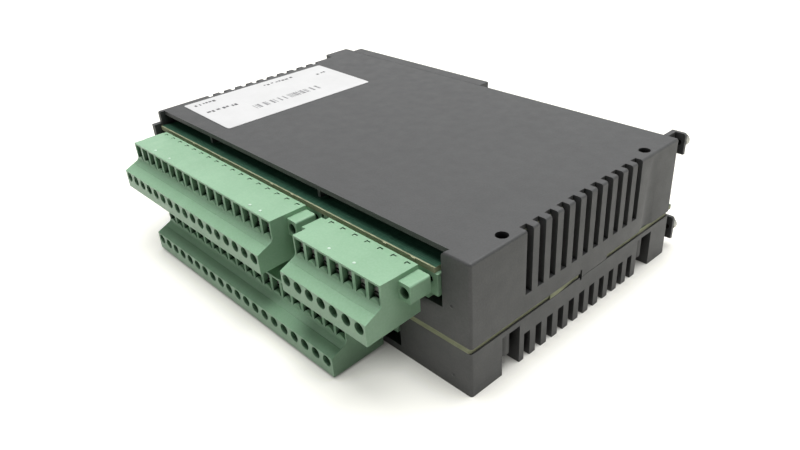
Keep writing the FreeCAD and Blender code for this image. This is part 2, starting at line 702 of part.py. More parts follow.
def plug_body(poles):
    half = PITCH / 2
    end = poles * PITCH - half
    body = shifted(plug_profile().extrude(Vector(poles * PITCH, 0, 0)), dx=-half)
    nose = block(-half + GAP, end - GAP, PLUG_DEPTH - OVER, NOSE_END, *NOSE_Z)
    left = flange_block(-half - FLANGE_WIDTH, -half + OVER)
    right = flange_block(end - OVER, end + FLANGE_WIDTH)
    cutter = pole_cutter()
    mark = key_mark()
    cutters = [flange_bore(x) for x in flange_axes(0.0, poles)]
    for i in range(poles):
        cutters += [shifted(cutter, dx=i * PITCH), shifted(mark, dx=i * PITCH)]
    sills = [rod(i * PITCH, SILL_Y[0], SILL_Y[1], SILL_Z, SILL_R) for i in range(poles)]
    return join([cut(join([body, nose, left, right]), cutters)] + sills)


def flange_screw(poles, side):
    """Captive screw of one plug flange, unscrewed: its tip is flush with the flange's back."""
    x = flange_axes(0.0, poles)[side]
    z = FLANGE_AXIS[1]
    seat = PLUG_DEPTH - FLANGE_DEPTH + FLANGE_HEAD_SEAT
    top = seat - FLANGE_HEAD_HEIGHT
    reach = FLANGE_HEAD_R + OVER
    head = rod(x, top, seat, z, FLANGE_HEAD_R)
    shank = rod(x, seat, PLUG_DEPTH, z, FLANGE_SHANK_R)
    slot = block(x - reach, x + reach, top - OVER, top + SLOT_DEPTH, z - SLOT_WIDTH / 2, z + SLOT_WIDTH / 2)
    return join([head, shank]).cut(slot)


def clamp_screw():
    top, seat = CLAMP_HEAD_Y
    reach = CLAMP_HEAD_R + OVER
    head = rod(0, top, seat, SCREW_Z, CLAMP_HEAD_R)
    shank = rod(0, seat, CLAMP_SHANK_END, SCREW_Z, CLAMP_SHANK_R)
    slot = block(-reach, reach, top - OVER, top + SLOT_DEPTH,
                 SCREW_Z - SLOT_WIDTH / 2, SCREW_Z + SLOT_WIDTH / 2)
    return join([head, shank]).cut(slot)


def clamp_block():
    """Clamping body: the wire goes into its lower hole, the screw through its upper one."""
    front, back = CLAMP_Y
    body = block(-CLAMP_WIDTH / 2, CLAMP_WIDTH / 2, front, back, *CLAMP_Z)
    wire = rod(0, front - OVER, CLAMP_WIRE_END, 0, CLAMP_WIRE_R)
    screw = rod(0, front - OVER, back + OVER, SCREW_Z, CLAMP_THREAD_R)
    return cut(body, [wire, screw])


def contact():
    """Forked contact: a root against the clamping body and two leaves, above and below the pin."""
    half = CONTACT_WIDTH / 2
    near, far = LEAF_Z
    leaf_root = CONTACT_ROOT_END - SUNK
    root = block(-half, half, CLAMP_Y[1], CONTACT_ROOT_END, CONTACT_Z - far, CONTACT_Z + far)
    upper = block(-half, half, leaf_root, LEAF_END, CONTACT_Z + near, CONTACT_Z + far)
    lower = block(-half, half, leaf_root, LEAF_END, CONTACT_Z - far, CONTACT_Z - near)
    return join([root, upper, lower])


def per_pole(shape, poles):
    return Part.makeCompound([shifted(shape, dx=i * PITCH) for i in range(poles)])


# ---- board components --------------------------------------------------------------------------
def link_positions():
    x0 = LINK_CENTRE[0] - (LINK_COLUMNS - 1) / 2 * LINK_PITCH
    for column in range(LINK_COLUMNS):
        for row in (-0.5, 0.5):
            yield x0 + column * LINK_PITCH, LINK_CENTRE[1] + row * LINK_PITCH


def link_block(z0, z1, hole):
    """Two-row strip with a square hole for each pin."""
    x, y = LINK_CENTRE
    half = LINK_COLUMNS * LINK_PITCH / 2
    body = block(x - half, x + half, y - LINK_PITCH, y + LINK_PITCH, z0, z1)
    return cut(body, [square(px, py, hole, z0 - OVER, z1 + OVER) for px, py in link_positions()])


def link_pins():
    return Part.makeCompound([square(x, y, LINK_PIN, BOARD_TOP, LINK_PIN_TOP) for x, y in link_positions()])


def bus_pins(tip):
    """Three rows of round pins, from their roots in the connector to this distance back."""
    x0 = BUS_CENTRE - (BUS_COLUMNS - 1) / 2 * LINK_PITCH
    z0 = UPPER_UNDER - BUS_HEIGHT / 2
    return [rod(x0 + column * LINK_PITCH, BUS_PIN_ROOT, tip, z0 + row * LINK_PITCH, BUS_PIN_R)
            for column in range(BUS_COLUMNS) for row in (-1, 0, 1)]


def backplane_connector():
    half = BUS_LENGTH / 2
    inner = half - BUS_END_WALL
    low = UPPER_UNDER - BUS_HEIGHT
    floor = BUS_BACK - BUS_MOUTH
    body = block(BUS_CENTRE - half, BUS_CENTRE + half, BUS_BACK - BUS_DEPTH, BUS_BACK, low, UPPER_UNDER)
    mouth = block(BUS_CENTRE - inner, BUS_CENTRE + inner, floor, BUS_BACK + OVER,
                  low + BUS_SIDE_WALL, UPPER_UNDER - BUS_SIDE_WALL)
    return cut(body, [mouth] + bus_pins(floor))


def backplane_pins():
    return Part.makeCompound(bus_pins(BUS_PIN_TIP))


def component(place, z):
    """Plain component standing on a board at height z."""
    x, y, size_x, size_y, height = place
    return block(x - size_x / 2, x + size_x / 2, y - size_y / 2, y + size_y / 2, z, z + height)


def component_row(place, z, step, count):
    first = component(place, z)
    return [shifted(first, dx=i * step) for i in range(count)]


def dc_converter():
    can = component(CONVERTER, BOARD_TOP)
    rim = edges_at_height(can, BOARD_TOP + CONVERTER[4])
    return can.makeFillet(CONVERTER_ROUND, upright_edges(can) + rim)


def electrolytic_capacitors():
    cans = []
    for x, y, radius, height in CAPACITORS:
        can = post(x, y, BOARD_TOP, BOARD_TOP + height, radius)
        cans.append(can.makeFillet(CAPACITOR_ROUND, edges_at_height(can, BOARD_TOP + height)))
    return Part.makeCompound(cans)


def logic_chips():
    below = component_row(LOGIC_BELOW, BOARD_TOP, LOGIC_BELOW_STEP, 3)
    above = component_row(LOGIC_ABOVE, UPPER_TOP, LOGIC_ABOVE_STEP, 6)
    return Part.makeCompound(below + above)


def crystal():
    can = component(CRYSTAL, BOARD_TOP)
    return can.makeFillet(CRYSTAL_ROUND, upright_edges(can))


def storage_choke():
    """Wound ring core lying flat on the main board."""
    return Part.makeTorus(CHOKE_R, CHOKE_WINDING_R, Vector(CHOKE[0], CHOKE[1], BOARD_TOP + CHOKE_WINDING_R))


# ---- output ------------------------------------------------------------------------------------
def connector_nodes():
    nodes = {}
    for name, first, poles, hole_z, front, under in CONNECTORS:
        place = dict(dx=first, dy=front, dz=hole_z)
        nodes["header_" + name] = header(first, poles, hole_z, under)
        nodes["header_pins_" + name] = header_pins(first, poles, under)
        nodes["plug_" + name] = shifted(plug_body(poles), **place)
        nodes["clamp_screws_" + name] = shifted(per_pole(clamp_screw(), poles), **place)
        nodes["clamp_blocks_" + name] = shifted(per_pole(clamp_block(), poles), **place)
        nodes["contacts_" + name] = shifted(per_pole(contact(), poles), **place)
        for side, word in enumerate(("left", "right")):
            nodes["flange_screw_%s_%s" % (name, word)] = shifted(flange_screw(poles, side), **place)
    return nodes


def all_nodes():
    nodes = {
        "upper_shell": upper_shell(),
        "lower_shell": lower_shell(),
        "case_screws": case_screws(),
        "hook_studs": hook_studs(),
        "rating_label": rating_label(),
        "main_board": main_board(),
        "upper_board": upper_board(),
        "board_spacers": board_spacers(),
        "spacer_screws": spacer_screws(),
        "flange_nuts": flange_nuts(),
        "board_link_header": link_block(BOARD_TOP, BOARD_TOP + LINK_HEADER_HEIGHT, LINK_PIN),
        "board_link_socket": link_block(UPPER_UNDER - LINK_SOCKET_HEIGHT, UPPER_UNDER, LINK_SOCKET_HOLE),
        "board_link_pins": link_pins(),
        "backplane_connector": backplane_connector(),
        "backplane_pins": backplane_pins(),
        "dc_converter": dc_converter(),
        "electrolytic_capacitors": electrolytic_capacitors(),
        "processor_chip": component(PROCESSOR, BOARD_TOP),
        "logic_chips": logic_chips(),
        "optocouplers": Part.makeCompound(component_row(OPTOCOUPLER, BOARD_TOP, OPTOCOUPLER_STEP, 12)),
        "resistor_arrays": Part.makeCompound(component_row(RESISTORS, BOARD_TOP, RESISTORS_STEP, 4)),
        "crystal": crystal(),
        "storage_choke": storage_choke(),
    }
    nodes.update(connector_nodes())
    return nodes


os.makedirs("parts", exist_ok=True)
for node, shape in all_nodes().items():
    shape.exportStep("parts/" + node + ".step")
    print(node, len(shape.Solids), round(shape.Volume, 1), shape.isValid())
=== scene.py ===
import json
import math
import random

import bmesh
import bpy
from mathutils import Euler, Matrix, Vector


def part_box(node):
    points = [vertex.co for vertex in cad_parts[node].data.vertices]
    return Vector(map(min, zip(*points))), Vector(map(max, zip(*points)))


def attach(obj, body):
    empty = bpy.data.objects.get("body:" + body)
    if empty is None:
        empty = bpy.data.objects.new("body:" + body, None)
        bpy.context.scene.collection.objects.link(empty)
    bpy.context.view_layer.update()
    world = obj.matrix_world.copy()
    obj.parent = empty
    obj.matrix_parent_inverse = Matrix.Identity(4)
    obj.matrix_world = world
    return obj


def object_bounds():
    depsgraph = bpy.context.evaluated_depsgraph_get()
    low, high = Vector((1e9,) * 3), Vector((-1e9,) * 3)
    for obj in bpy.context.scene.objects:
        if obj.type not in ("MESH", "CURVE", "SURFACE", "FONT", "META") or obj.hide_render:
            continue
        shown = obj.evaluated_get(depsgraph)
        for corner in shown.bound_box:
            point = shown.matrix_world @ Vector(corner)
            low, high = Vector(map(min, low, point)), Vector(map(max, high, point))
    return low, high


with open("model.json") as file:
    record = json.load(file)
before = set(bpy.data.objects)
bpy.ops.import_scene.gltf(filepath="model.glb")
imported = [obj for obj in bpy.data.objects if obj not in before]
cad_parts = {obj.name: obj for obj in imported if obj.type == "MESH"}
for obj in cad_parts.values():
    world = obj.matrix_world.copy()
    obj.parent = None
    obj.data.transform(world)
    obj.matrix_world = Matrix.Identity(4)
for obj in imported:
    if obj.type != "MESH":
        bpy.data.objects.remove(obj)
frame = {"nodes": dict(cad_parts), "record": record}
cad_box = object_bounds()

# Looks of the input/output module.  Lengths are metres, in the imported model's own frame.
MM = 0.001

# Camera: where it stands, how it is turned (degrees about X, Y and Z) and its lens
CAMERA_PLACE = (0.1729, -0.1495, 0.1325)
CAMERA_TURN = (60.005, 3.443, 47.062)
LENS = 32.07
SENSOR_WIDTH = 36.0
CLIP_START = 0.005

# Lights, all aimed at the middle of the module: name, place, width, height of a strip or None for
# a disk, and power in watts
LIGHTS = (
    ("key", (0.0, 0.25, 1.60), 1.5, None, 39.0),
    ("front", (-0.90, -1.30, 1.00), 1.2, None, 3.5),
    ("back", (-1.20, 1.12, 0.55), 3.0, 0.8, 9.0),
    ("right_back", (0.60, 1.65, 0.40), 1.6, 0.7, 6.0),
)

# World: strength for lighting the module, and strength as the camera sees it
ROOM_LIGHT = 0.10
ROOM_SEEN = 1.0

# Floor: half its width, its glow in the corner under the module, where the lower glow is a painted
# contact shadow, and out in the open, how far that painted shadow reaches, and how strongly shiny
# surfaces see the glow
FLOOR_HALF_WIDTH = 6.0
FLOOR_GLOW_IN_PAINTED_SHADOW = 0.02
FLOOR_GLOW_OPEN = 0.58
FLOOR_PAINTED_SHADOW_REACH = 12 * MM
FLOOR_IN_REFLECTIONS = 1.3

# Strip along the front of the upper board that the solder mask leaves bare, and how softly it ends
BARE_MARGIN = 0.8 * MM
BARE_FADE = 0.1 * MM

# Copper tracks: pitch, length of a stretch, and the share of stretches that have no track
TRACK_PITCH = 0.635 * MM
TRACK_STRETCH = 7.0 * MM
TRACK_GAPS = 0.62

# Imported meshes: points closer than this are one, and edges flatter than this angle are smooth
WELD = 0.002 * MM
CREASE = math.radians(32)

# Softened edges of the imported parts: width of the round in millimetres
SOFT_EDGES = {
    "upper_shell": 0.22, "lower_shell": 0.22, "rating_label": 0.03,
    "plug_upper_left": 0.16, "plug_upper_right": 0.16, "plug_lower": 0.16,
    "header_upper_left": 0.16, "header_upper_right": 0.16, "header_lower": 0.16,
    "main_board": 0.08, "upper_board": 0.08,
    "case_screws": 0.12, "clamp_screws_upper_left": 0.12, "clamp_screws_upper_right": 0.12,
    "clamp_screws_lower": 0.12,
    "clamp_blocks_upper_left": 0.12, "clamp_blocks_upper_right": 0.12, "clamp_blocks_lower": 0.12,
    "backplane_connector": 0.15, "hook_studs": 0.1, "spacer_screws": 0.12, "board_spacers": 0.15,
    "dc_converter": 0.2, "optocouplers": 0.2, "logic_chips": 0.15, "processor_chip": 0.15,
    "resistor_arrays": 0.3, "board_link_header": 0.12, "board_link_socket": 0.12,
}


# ---- node trees ----------------------------------------------------------------------------------
class Finish:
    """One procedural material: a Principled shader and short calls that add nodes before it."""

    def __init__(self, name, **values):
        self.material = bpy.data.materials.new(name)
        self.material.use_nodes = True
        self.tree = self.material.node_tree
        self.shader = self.tree.nodes["Principled BSDF"]
        self.place = self.node("ShaderNodeTexCoord").outputs["Object"]
        self.set(**values)

    def set(self, **values):
        """Sets or links shader inputs; an underscore in a key stands for a space."""
        for key, value in values.items():
            self.feed(self.shader.inputs[key.replace("_", " ")], value)

    def feed(self, socket, value):
        if isinstance(value, bpy.types.NodeSocket):
            self.tree.links.new(value, socket)
        elif socket.type == "RGBA" and len(value) == 3:
            socket.default_value = (*value, 1.0)
        else:
            socket.default_value = value

    def node(self, kind, inputs=None, **properties):
        made = self.tree.nodes.new(kind)
        for key, value in properties.items():
            setattr(made, key, value)
        for key, value in (inputs or {}).items():
            self.feed(made.inputs[key], value)
        return made

    def noise(self, grain, detail=2.0, stretch=(1.0, 1.0, 1.0)):
        """Noise with bumps about this many millimetres across; stretch over 1 squeezes it."""
        scaled = self.node("ShaderNodeVectorMath", {0: self.place, 1: stretch},
                           operation="MULTIPLY")
        inputs = {"Vector": scaled.outputs[0], "Scale": 1.0 / (grain * MM), "Detail": detail}
        return self.node("ShaderNodeTexNoise", inputs).outputs["Fac"]

    def span(self, value, low, high, low_out=0.0, high_out=1.0):
        """Maps low..high to low_out..high_out, and holds the ends."""
        inputs = {"Value": value, "From Min": low, "From Max": high,
                  "To Min": low_out, "To Max": high_out}
        return self.node("ShaderNodeMapRange", inputs).outputs["Result"]

    def maths(self, operation, a, b=0.0):
        return self.node("ShaderNodeMath", {0: a, 1: b}, operation=operation).outputs[0]

    def mix(self, share, a, b):
        """Colour a, turning into colour b as share rises from 0 to 1."""
        inputs = {"Fac": share, "Color1": a, "Color2": b}
        return self.node("ShaderNodeMixRGB", inputs).outputs["Color"]

    def bump(self, height, millimetres, under=None):
        """Bump whose heights span this many millimetres, on top of another bump."""
        inputs = {"Height": height, "Distance": millimetres * MM, "Strength": 1.0}
        if under is not None:
            inputs["Normal"] = under
        return self.node("ShaderNodeBump", inputs).outputs["Normal"]

    def edges(self, radius, patches):
        """1 on outer and inner edges within this radius in millimetres, broken into patches."""
        rounded = self.node("ShaderNodeBevel", {"Radius": radius * MM}, samples=4).outputs["Normal"]
        flat = self.node("ShaderNodeNewGeometry").outputs["True Normal"]
        same = self.node("ShaderNodeVectorMath", {0: rounded, 1: flat}, operation="DOT_PRODUCT")
        near = self.span(same.outputs["Value"], 0.98, 0.75)
        return self.maths("MULTIPLY", near, self.span(self.noise(patches, 3.0), 0.38, 0.62))

    def recess(self, reach, shut, open_, alone=True):
        """0 deep inside recesses, rising to 1 on open faces.

        Nothing further than reach, in millimetres, counts, and with alone, no other part does.
        shut and open_ are the shares of open sky above a point that give 0 and 1.
        """
        made = self.node("ShaderNodeAmbientOcclusion", {"Distance": reach * MM},
                         samples=8, only_local=alone)
        return self.span(made.outputs["AO"], shut, open_)

    def facing(self, axis):
        """How far the surface faces along X, Y or Z, from -1 to 1."""
        normal = self.node("ShaderNodeNewGeometry").outputs["Normal"]
        turn = self.node("ShaderNodeVectorTransform", {"Vector": normal},
                         vector_type="NORMAL", convert_from="WORLD", convert_to="OBJECT")
        return self.node("ShaderNodeSeparateXYZ", {0: turn.outputs[0]}).outputs[axis]


# ---- materials -----------------------------------------------------------------------------------
def housing_plastic():
    """Dark grey ABS with a spark-eroded texture, rubbed paler on its edges, with painted shade that
    turns it black in its slots.
    """
    f = Finish("housing_plastic", IOR=1.5)
    mottle = f.span(f.noise(14.0, 4.0), 0.3, 0.7)
    speckle = f.span(f.noise(0.55, 2.0), 0.35, 0.65)
    colour = f.mix(mottle, (0.043, 0.044, 0.044), (0.048, 0.049, 0.049))
    colour = f.mix(f.maths("MULTIPLY", speckle, 0.20), colour, (0.090, 0.091, 0.094))
    colour = f.mix(f.maths("MULTIPLY", f.edges(0.5, 2.5), 0.25), colour, (0.14, 0.14, 0.141))
    scuffs = f.span(f.noise(5.0, 5.0, (0.25, 1.6, 1.0)), 0.60, 0.72)
    colour = f.mix(f.maths("MULTIPLY", scuffs, 0.02), colour, (0.16, 0.16, 0.16))
    # Painted shade: the colour goes nearly black and the reflections dim deep in slots and recesses.
    recess_shade = f.recess(12.0, 0.18, 0.50)
    colour = f.mix(recess_shade, (0.012, 0.012, 0.012), colour)
    rough = f.span(f.noise(4.0, 3.0), 0.3, 0.7, 0.52, 0.60)
    grain = f.bump(f.noise(0.45, 3.0), 0.03)
    rough = f.maths("SUBTRACT", rough, f.maths("MULTIPLY", scuffs, 0.012))
    f.set(Base_Color=colour, Roughness=rough, Specular_IOR_Level=f.maths("MULTIPLY", recess_shade, 0.60),
          Normal=f.bump(f.noise(6.0, 2.0), 0.015, grain))
    return f.material


def plug_plastic(name, pale, deep):
    """Green polyamide: slightly milky, with flow clouds and paler, shinier edges; painted shade
    darkens it in holes, windows and recesses.
    """
    f = Finish(name, IOR=1.53, Specular_IOR_Level=0.4, Subsurface_Weight=0.12,
               Subsurface_Radius=(0.6 * MM, 1.0 * MM, 0.7 * MM), Subsurface_Scale=1.0)
    clouds = f.span(f.noise(9.0, 4.0, (1.0, 0.5, 0.6)), 0.3, 0.7)
    colour = f.mix(clouds, deep, pale)
    fine = f.span(f.noise(0.7, 2.0), 0.4, 0.7)
    colour = f.mix(f.maths("MULTIPLY", fine, 0.08), colour, (0.50, 0.68, 0.55))
    rub = f.edges(0.35, 1.8)
    colour = f.mix(f.maths("MULTIPLY", rub, 0.30), colour, (0.44, 0.62, 0.48))
    # Painted shade: dark green deep in holes, windows and other recesses.
    colour = f.mix(f.recess(5.0, 0.20, 0.45), (0.020, 0.078, 0.030), colour)
    rough = f.span(f.noise(3.0, 2.0), 0.3, 0.7, 0.36, 0.48)
    f.set(Base_Color=colour, Roughness=rough, Normal=f.bump(f.noise(0.4, 2.0), 0.008))
    return f.material


def plated_metal(name, colour, roughness, tarnish, grain=(1.0, 1.0, 1.0)):
    """Plated metal: fine drawn grain, stretched by grain, and cloudy tarnish, with painted shade that
    darkens it in recesses.
    """
    f = Finish(name, Metallic=1.0)
    cloud = f.span(f.noise(1.6, 4.0), 0.45, 0.72)
    tone = f.mix(f.maths("MULTIPLY", cloud, 0.55), colour, tarnish)
    # Painted shade: darker where this part or nearby parts close it in.
    shadow = tuple(0.08 * c for c in tarnish)
    tone = f.mix(f.recess(5.0, 0.55, 0.95, alone=False), shadow, tone)
    lines = f.noise(0.12, 2.0, grain)
    uneven = f.maths("ADD", f.maths("MULTIPLY", cloud, 0.5), f.maths("MULTIPLY", lines, 0.5))
    rough = f.span(uneven, 0.2, 0.8, roughness - 0.08, roughness + 0.12)
    f.set(Base_Color=tone, Roughness=rough, Normal=f.bump(lines, 0.004))
    return f.material


def circuit_board():
    """Solder mask over copper tracks on the faces, bare glass-epoxy on edges and front strip."""
    f = Finish("circuit_board", IOR=1.5)
    face = f.span(f.maths("ABSOLUTE", f.facing("Z")), 0.5, 0.6)
    x, y, _ = f.node("ShaderNodeSeparateXYZ", {0: f.place}).outputs
    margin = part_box("upper_board")[0].y + BARE_MARGIN
    face = f.maths("MULTIPLY", face, f.span(y, margin - BARE_FADE, margin))
    copper = f.maths("MAXIMUM", tracks(f, x, y), tracks(f, y, x))
    weave = f.noise(0.5, 1.0)
    mask = f.mix(f.span(weave, 0.3, 0.7), (0.022, 0.070, 0.044), (0.030, 0.088, 0.055))
    mask = f.mix(copper, mask, (0.040, 0.115, 0.072))
    layers = f.noise(0.35, 2.0, (0.15, 0.15, 3.0))
    epoxy = f.mix(f.span(layers, 0.35, 0.65), (0.225, 0.245, 0.145), (0.355, 0.365, 0.23))
    raised = f.bump(f.maths("MULTIPLY", copper, face), 0.03)
    f.set(Base_Color=f.mix(face, epoxy, mask), Roughness=f.span(face, 0.0, 1.0, 0.72, 0.34),
          Normal=f.bump(layers, 0.01, raised))
    return f.material


def tracks(f, along, across):
    """Parallel copper tracks, about 0.4 of their pitch wide, present only in some stretches."""
    lane = f.maths("MULTIPLY", across, 1.0 / TRACK_PITCH)
    middle = f.maths("ABSOLUTE", f.maths("SUBTRACT", f.maths("FRACT", lane), 0.5))
    number = f.maths("FLOOR", lane)
    stretch = f.maths("FLOOR", f.maths("MULTIPLY", along, 1.0 / TRACK_STRETCH))
    cell = f.node("ShaderNodeCombineXYZ", {"X": number, "Y": stretch}).outputs[0]
    chance = f.node("ShaderNodeTexWhiteNoise", {"Vector": cell}, noise_dimensions="2D")
    present = f.maths("GREATER_THAN", chance.outputs["Value"], TRACK_GAPS)
    return f.maths("MULTIPLY", f.span(middle, 0.22, 0.18), present)


def label_film():
    """White polyester film: faint orange-peel, slightly dirty near its edges."""
    f = Finish("label_film", IOR=1.45, Coat_Weight=0.25, Coat_Roughness=0.35)
    tint = f.span(f.noise(11.0, 3.0), 0.35, 0.7)
    grime = f.maths("MULTIPLY", f.edges(1.2, 3.0), 0.25)
    film = f.mix(tint, (0.60, 0.60, 0.60), (0.57, 0.57, 0.568))
    colour = f.mix(grime, film, (0.42, 0.41, 0.39))
    f.set(Base_Color=colour, Roughness=f.span(f.noise(2.5, 2.0), 0.3, 0.7, 0.4, 0.55),
          Normal=f.bump(f.noise(1.8, 2.0), 0.01))
    return f.material


def label_ink(name, pale, dark):
    """Thermal print: grey, with thin spots where the film shows through."""
    f = Finish(name, Roughness=0.6)
    f.set(Base_Color=f.mix(f.span(f.noise(0.5, 3.0), 0.35, 0.65), dark, pale))
    return f.material


def black_resin(name, tone, roughness, grain):
    """Moulded component resin: fine speckle and small pits."""
    f = Finish(name, IOR=1.5)
    speck = f.span(f.noise(grain, 3.0), 0.45, 0.75)
    pale = tuple(2.2 * c + 0.01 for c in tone)
    colour = f.mix(speck, tone, pale)
    rough = f.span(f.noise(2.0, 3.0), 0.3, 0.7, roughness - 0.06, roughness + 0.08)
    f.set(Base_Color=colour, Roughness=rough, Normal=f.bump(f.noise(grain, 3.0), 0.012))
    return f.material


def copper_wire():
    """Enamelled winding wire."""
    f = Finish("copper_wire", Metallic=1.0, Coat_Weight=0.6, Coat_Roughness=0.15)
    tone = f.mix(f.span(f.noise(1.2, 3.0), 0.35, 0.65), (0.42, 0.13, 0.05), (0.60, 0.22, 0.09))
    f.set(Base_Color=tone, Roughness=f.span(f.noise(0.4, 2.0), 0.3, 0.7, 0.25, 0.4))
    return f.material


# One material for each of the record's material slots
FINISHES = {
    "housing": housing_plastic(),
    "plug": plug_plastic("plug_plastic", (0.262, 0.440, 0.285), (0.236, 0.405, 0.258)),
    "header": plug_plastic("header_plastic", (0.232, 0.385, 0.250), (0.208, 0.352, 0.226)),
    "tinned_pins": plated_metal(
        "tinned_pins", (0.72, 0.72, 0.70), 0.34, (0.50, 0.49, 0.46), (1.0, 0.1, 1.0)),
    "steel_screws": plated_metal("steel_screws", (0.30, 0.30, 0.29), 0.42, (0.14, 0.14, 0.12)),
    "studs": plated_metal(
        "studs", (0.34, 0.34, 0.31), 0.38, (0.22, 0.21, 0.18), (4.0, 0.2, 4.0)),
    "clamp_metal": plated_metal("clamp_metal", (0.40, 0.39, 0.35), 0.42, (0.20, 0.19, 0.15)),
    "brass": plated_metal(
        "brass", (0.66, 0.50, 0.24), 0.32, (0.38, 0.26, 0.12), (0.3, 0.3, 4.0)),
    "circuit_board": circuit_board(),
    "label": label_film(),
    "connector_plastic": black_resin("connector_plastic", (0.022, 0.022, 0.023), 0.45, 0.4),
    "capacitor_sleeve": black_resin("capacitor_sleeve", (0.020, 0.024, 0.050), 0.30, 0.8),
    "can_metal": plated_metal(
        "can_metal", (0.66, 0.66, 0.66), 0.30, (0.48, 0.47, 0.45), (0.2, 4.0, 4.0)),
    "ferrite": black_resin("ferrite", (0.035, 0.030, 0.028), 0.55, 0.3),
    "chip_resin": black_resin("chip_resin", (0.020, 0.020, 0.021), 0.50, 0.25),
}


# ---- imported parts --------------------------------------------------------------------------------
def cleaning_tree():
    """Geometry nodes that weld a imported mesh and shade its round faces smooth, not its corners."""
    tree = bpy.data.node_groups.new("clean_faces", "GeometryNodeTree")
    tree.interface.new_socket("Geometry", in_out="INPUT", socket_type="NodeSocketGeometry")
    tree.interface.new_socket("Geometry", in_out="OUTPUT", socket_type="NodeSocketGeometry")
    source = tree.nodes.new("NodeGroupInput")
    weld = tree.nodes.new("GeometryNodeMergeByDistance")
    weld.inputs["Distance"].default_value = WELD
    forget = tree.nodes.new("GeometryNodeRemoveAttribute")
    forget.inputs["Name"].default_value = "custom_normal"
    faces = tree.nodes.new("GeometryNodeSetShadeSmooth")
    faces.domain = "FACE"
    angle = tree.nodes.new("GeometryNodeInputMeshEdgeAngle")
    sharp = tree.nodes.new("FunctionNodeCompare")
    sharp.inputs["B"].default_value = CREASE
    edges = tree.nodes.new("GeometryNodeSetShadeSmooth")
    edges.domain = "EDGE"
    edges.inputs["Shade Smooth"].default_value = False
    result = tree.nodes.new("NodeGroupOutput")
    chain = (source, weld, forget, faces, edges, result)
    for before, after in zip(chain, chain[1:]):
        tree.links.new(before.outputs["Geometry"], after.inputs["Geometry"])
    tree.links.new(angle.outputs["Unsigned Angle"], sharp.inputs["A"])
    tree.links.new(sharp.outputs["Result"], edges.inputs["Selection"])
    return tree


def soften(piece, tree, width):
    """Rounds a part's corners by this many millimetres."""
    clean = piece.modifiers.new("clean", "NODES")
    clean.node_group = tree
    bevel = piece.modifiers.new("soft_edges", "BEVEL")
    bevel.width = width * MM
    bevel.segments = 2
    bevel.limit_method = "ANGLE"
    bevel.angle_limit = CREASE
    bevel.harden_normals = True


def finish_packed_parts():
    """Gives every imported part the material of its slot, and rounds the corners that show."""
    tree = cleaning_tree()
    for part in frame["record"]["subparts"]:
        piece = frame["nodes"][part["node"]]
        piece.data.materials.clear()
        piece.data.materials.append(FINISHES[part["material_slot"]])
        if part["node"] in SOFT_EDGES:
            soften(piece, tree, SOFT_EDGES[part["node"]])


# ---- added pieces --------------------------------------------------------------------------------
def add_piece(name, mesh, material, body="root"):
    """Makes an object of a bmesh, in the model's frame, that rides on a body."""
    data = bpy.data.meshes.new(name)
    mesh.to_mesh(data)
    mesh.free()
    data.materials.append(material)
    piece = bpy.data.objects.new(name, data)
    bpy.context.scene.collection.objects.link(piece)
    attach(piece, body)


def solid_boxes(node):
    """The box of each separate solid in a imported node, sorted by X and then Y."""
    mesh = bmesh.new()
    mesh.from_mesh(frame["nodes"][node].data)
    bmesh.ops.remove_doubles(mesh, verts=mesh.verts, dist=WELD)
    left = set(mesh.verts)
    boxes = []
    while left:
        group = [left.pop()]
        for vertex in group:
            for edge in vertex.link_edges:
                other = edge.other_vert(vertex)
                if other in left:
                    left.remove(other)
                    group.append(other)
        low = Vector(min(v.co[i] for v in group) for i in range(3))
        high = Vector(max(v.co[i] for v in group) for i in range(3))
        boxes.append((low, high))
    mesh.free()
    return sorted(boxes, key=lambda b: (round(b[0].x, 5), round(b[0].y, 5)))


def lathe(mesh, centre, outline, sides):
    """Adds a turned shape about Z; outline is (radius, height) pairs from the bottom up."""
    rings = []
    for radius, height in outline:
        ring = []
        for i in range(sides):
            turn = 2 * math.pi * i / sides
            out = Vector((radius * math.cos(turn), radius * math.sin(turn), height))
            ring.append(mesh.verts.new(centre + out))
        rings.append(ring)
    for low, high in zip(rings, rings[1:]):
        for i in range(sides):
            j = (i + 1) % sides
            mesh.faces.new((low[i], low[j], high[j], high[i])).smooth = True
    mesh.faces.new(rings[-1])
    mesh.faces.new(reversed(rings[0]))


def box_solid(mesh, low, high, turn=None):
    """Adds a block between two corners to a mesh; turn, a matrix, then moves it."""
    size = Vector(high) - Vector(low)
    place = Matrix.Translation((Vector(low) + Vector(high)) / 2) @ Matrix.Diagonal((*size, 1.0))
    bmesh.ops.create_cube(mesh, size=1.0, matrix=(turn or Matrix.Identity(4)) @ place)


# Solder joints: outline of one, as (radius, height) in millimetres, the sides of its circle, and
# the board under each row of header pins
SOLDER_OUTLINE = ((1.05, 0.0), (1.0, 0.06), (0.78, 0.25), (0.66, 0.55), (0.60, 0.85))
SOLDER_SIDES = 20
SOLDERED = {
    "header_pins_upper_left": "upper_board",
    "header_pins_upper_right": "upper_board",
    "header_pins_lower": "main_board",
}


def solder_joints():
    """A concave cone of solder where each header pin comes up through its board."""
    mesh = bmesh.new()
    outline = [(r * MM, h * MM) for r, h in SOLDER_OUTLINE]
    for pins, board in SOLDERED.items():
        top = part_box(board)[1].z
        for low, high in solid_boxes(pins):
            centre = Vector(((low.x + high.x) / 2, high.y - (high.x - low.x) / 2, top))
            lathe(mesh, centre, outline, SOLDER_SIDES)
    add_piece("solder_joints", mesh, FINISHES["tinned_pins"])


# Legs of the board components: pitch, width and how far they reach out, in millimetres
LEGS = {
    "logic_chips": (1.27, 0.42, 1.3),
    "optocouplers": (2.54, 0.6, 0.9),
    "processor_chip": (0.8, 0.34, 1.4),
}
LEG_THICK = 0.2 * MM
# Length of a side that stays free of legs, and where a leg bends, as a share of the body's height
# and of the leg's reach
LEG_FREE = 1.2 * MM
LEG_SHOULDER = 0.45
LEG_KNEE = 0.45


